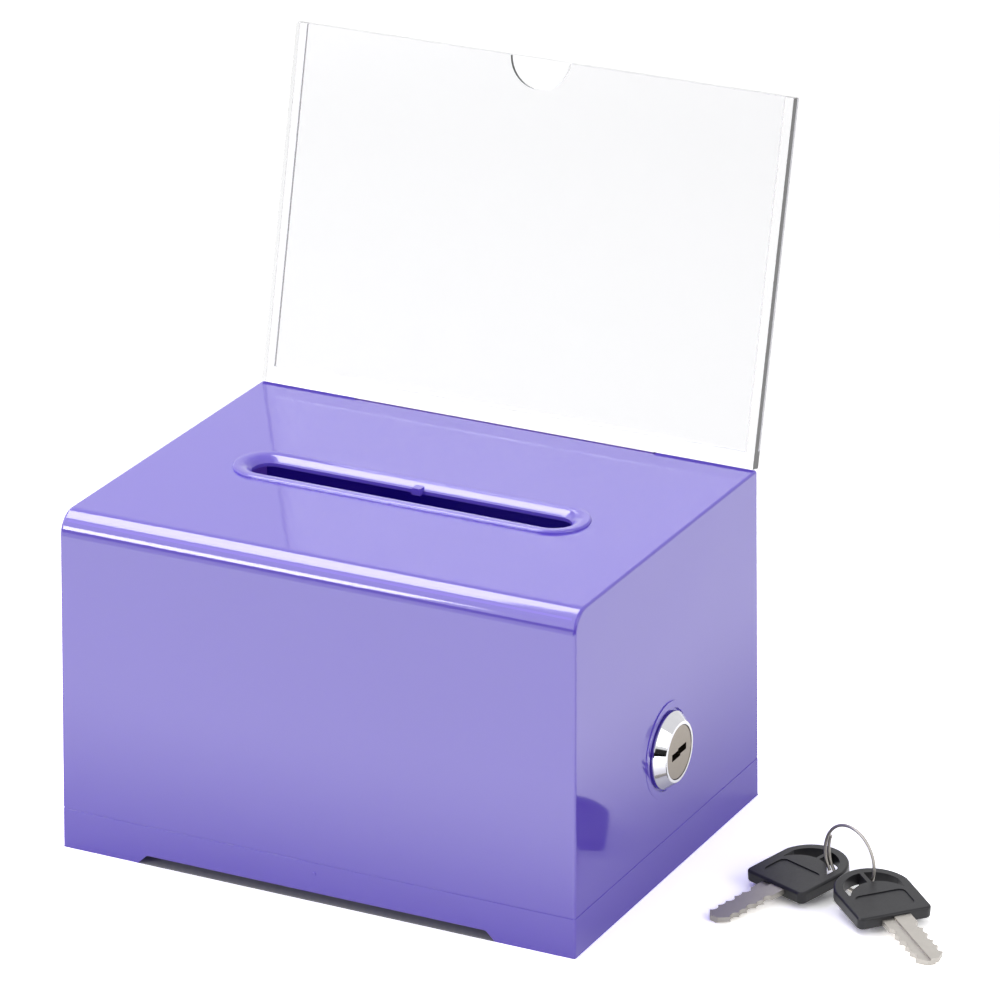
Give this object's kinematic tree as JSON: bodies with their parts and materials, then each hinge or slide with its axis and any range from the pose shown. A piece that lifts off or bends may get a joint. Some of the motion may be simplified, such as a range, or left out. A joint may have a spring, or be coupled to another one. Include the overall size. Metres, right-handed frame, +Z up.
{
  "type": "lockable ballot box",
  "caption": "Lockable ballot box with a rounded card slot, leaning clear sign holder on top, side cam lock, door in its floor and keys on a wire ring",
  "frame": {"origin": "on the table, in the plane of the feet, under the middle of the whole set's bounding box (box, sign holder, ring and keys)", "axes": "+Z up, +X towards the side with the lock, -Y the front face below the card slot, the sign holder leans back towards +Y"},
  "size_m": [0.2456, 0.1412, 0.2004],
  "materials": {
    "box_plastic": "glossy injection-moulded lilac polystyrene, slightly translucent",
    "clear_plastic": "clear polished plastic sheet",
    "lock_chrome": "bright chrome plate",
    "plug_metal": "satin nickel on die-cast zinc",
    "wafer_brass": "stamped brass",
    "screw_steel": "zinc-plated steel",
    "key_steel": "nickel-plated steel",
    "black_plastic": "satin black moulded plastic"
  },
  "bodies": {
    "box": {"shell": "box_plastic", "lock_housing": "lock_chrome", "lock_washer": "screw_steel", "lock_nut": "lock_chrome"},
    "door": {"base_door": "box_plastic", "door_catch": "box_plastic", "catch_screws": "screw_steel"},
    "plug": {"lock_plug": "plug_metal", "lock_wafers": "wafer_brass", "retaining_wafer": "wafer_brass", "wafer_springs": "screw_steel", "stop_washer": "screw_steel", "cam": "screw_steel", "cam_washer": "screw_steel", "cam_screw": "screw_steel"},
    "sign": {"sign_front": "clear_plastic", "sign_back": "clear_plastic"},
    "ring": {"key_ring": "key_steel"},
    "key_a": {"key_a_head": "black_plastic", "key_a_blade": "key_steel"},
    "key_b": {"key_b_head": "black_plastic", "key_b_blade": "key_steel"}
  },
  "joints": [
    {"name": "lock_turn", "type": "hinge", "parent": "box", "child": "plug", "pos_m": [0.0349, -0.01278, 0.038], "axis": [1, 0, 0], "range_deg": [0, 90]},
    {"name": "door_swing", "type": "hinge", "parent": "box", "child": "door", "pos_m": [-0.11872, -0.01148, 0.0089], "axis": [0, 1, 0], "range_deg": [0, 100]},
    {"name": "sign_lift", "type": "slide", "parent": "box", "child": "sign", "axis": [0, 0.225, 0.9744], "range_m": [0, 0.012]},
    {"name": "ring_lift", "type": "slide", "parent": "box", "child": "ring", "axis": [0, 0, 1], "range_m": [0, 0.08]},
    {"name": "key_a_swing", "type": "hinge", "parent": "ring", "child": "key_a", "pos_m": [0.08366, 0.00112, 0.0099], "axis": [0.4019, 0.9157, 0], "range_deg": [0, 40]},
    {"name": "key_b_swing", "type": "hinge", "parent": "ring", "child": "key_b", "pos_m": [0.08366, 0.00112, 0.0099], "axis": [-0.4019, -0.9157, 0], "range_deg": [0, 40]}
  ]
}
